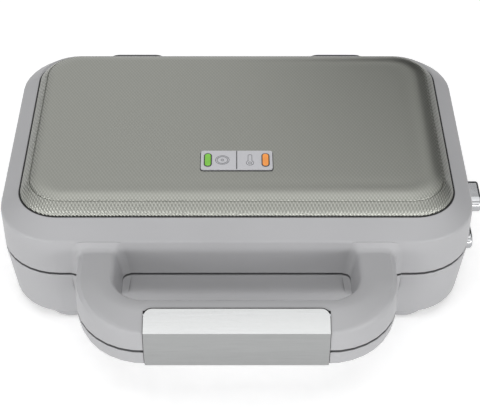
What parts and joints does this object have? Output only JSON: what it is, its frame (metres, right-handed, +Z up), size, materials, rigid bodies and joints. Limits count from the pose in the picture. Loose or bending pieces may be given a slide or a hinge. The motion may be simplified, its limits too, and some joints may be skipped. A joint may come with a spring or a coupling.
{
  "type": "sandwich toaster",
  "caption": "Deep-fill sandwich toaster: hinged moulded clamshell with removable cast plates, split loop handle with latch clip, plate release buttons and indicator lamps.",
  "frame": {"origin": "centre of the object's footprint box, on the surface that its four feet stand on", "axes": "+X to the right along the hinge axis, +Y to the back, +Z up; the handle points to -Y"},
  "size_m": [0.2778, 0.2586, 0.0833],
  "materials": {
    "grey_moulding": "satin moulded plastic, light warm grey",
    "textured_steel": "pressed sheet with a fine woven emboss, warm grey",
    "charcoal_moulding": "moulded plastic, charcoal",
    "panel_silver": "satin silver panel with printed pictograms",
    "green_lens": "clear green lens",
    "amber_lens": "clear amber lens",
    "polished_clip": "satin bright metal clip",
    "bright_button": "bright plated buttons",
    "nonstick_cast": "cast aluminium under a speckled ceramic non-stick coat",
    "tray_steel": "pressed aluminised sheet",
    "element_sheath": "heating element sheath, heat tinted",
    "zinc_steel": "zinc plated steel screws, pins and springs",
    "ceramic_white": "white ceramic",
    "rubber_black": "black rubber",
    "wire_red": "silicone wire insulation",
    "board_green": "printed circuit board",
    "lamp_glass": "neon lamp glass"
  },
  "bodies": {
    "base": {"base_housing": "grey_moulding", "base_underside": "charcoal_moulding", "foot_front_left": "rubber_black", "foot_front_right": "rubber_black", "foot_rear_left": "rubber_black", "foot_rear_right": "rubber_black", "underside_screws": "zinc_steel", "lower_cooking_plate": "nonstick_cast", "lower_tray": "tray_steel", "lower_heating_element": "element_sheath", "lower_element_clips": "tray_steel", "lower_tray_screws": "zinc_steel", "lower_thermostat": "ceramic_white", "lower_thermal_fuse": "ceramic_white", "lower_release_spring": "zinc_steel", "terminal_block": "ceramic_white", "cord_gland": "rubber_black", "base_wiring": "wire_red", "hinge_brackets": "charcoal_moulding", "bracket_screws": "zinc_steel", "hinge_pins": "zinc_steel"},
    "lid": {"lid_housing": "grey_moulding", "lid_cover": "textured_steel", "indicator_panel": "panel_silver", "power_light_lens": "green_lens", "ready_light_lens": "amber_lens", "lamp_board": "board_green", "indicator_lamps": "lamp_glass", "upper_cooking_plate": "nonstick_cast", "upper_tray": "tray_steel", "upper_heating_element": "element_sheath", "upper_element_clips": "tray_steel", "upper_tray_screws": "zinc_steel", "upper_thermostat": "ceramic_white", "upper_thermal_fuse": "ceramic_white", "upper_release_spring": "zinc_steel", "lid_wiring": "wire_red", "hinge_arms": "charcoal_moulding", "arm_screws": "zinc_steel", "latch_pin": "zinc_steel", "latch_spring": "zinc_steel"},
    "upper_release": {"upper_release_button": "bright_button", "upper_release_slider": "zinc_steel"},
    "lower_release": {"lower_release_button": "bright_button", "lower_release_slider": "zinc_steel"},
    "latch": {"handle_latch": "polished_clip"}
  },
  "joints": [
    {"name": "lid_hinge", "type": "hinge", "parent": "base", "child": "lid", "pos_m": [-0.00385, 0.1203, 0.0405], "axis": [-1, 0, 0], "range_deg": [0, 105]},
    {"name": "latch_hinge", "type": "hinge", "parent": "lid", "child": "latch", "pos_m": [-0.00385, -0.11775, 0.0568], "axis": [-1, 0, 0], "range_deg": [0, 60], "stiffness_Nm_per_rad": 0.03, "springref_deg": -28.65, "deforming": ["latch_spring"]},
    {"name": "upper_release_slide", "type": "slide", "parent": "lid", "child": "upper_release", "axis": [-1, 0, 0], "range_m": [0, 0.003], "stiffness_N_per_m": 400, "springref_m": -0.004, "deforming": ["upper_release_spring"]},
    {"name": "lower_release_slide", "type": "slide", "parent": "base", "child": "lower_release", "axis": [-1, 0, 0], "range_m": [0, 0.003], "stiffness_N_per_m": 400, "springref_m": -0.004, "deforming": ["lower_release_spring"]}
  ]
}
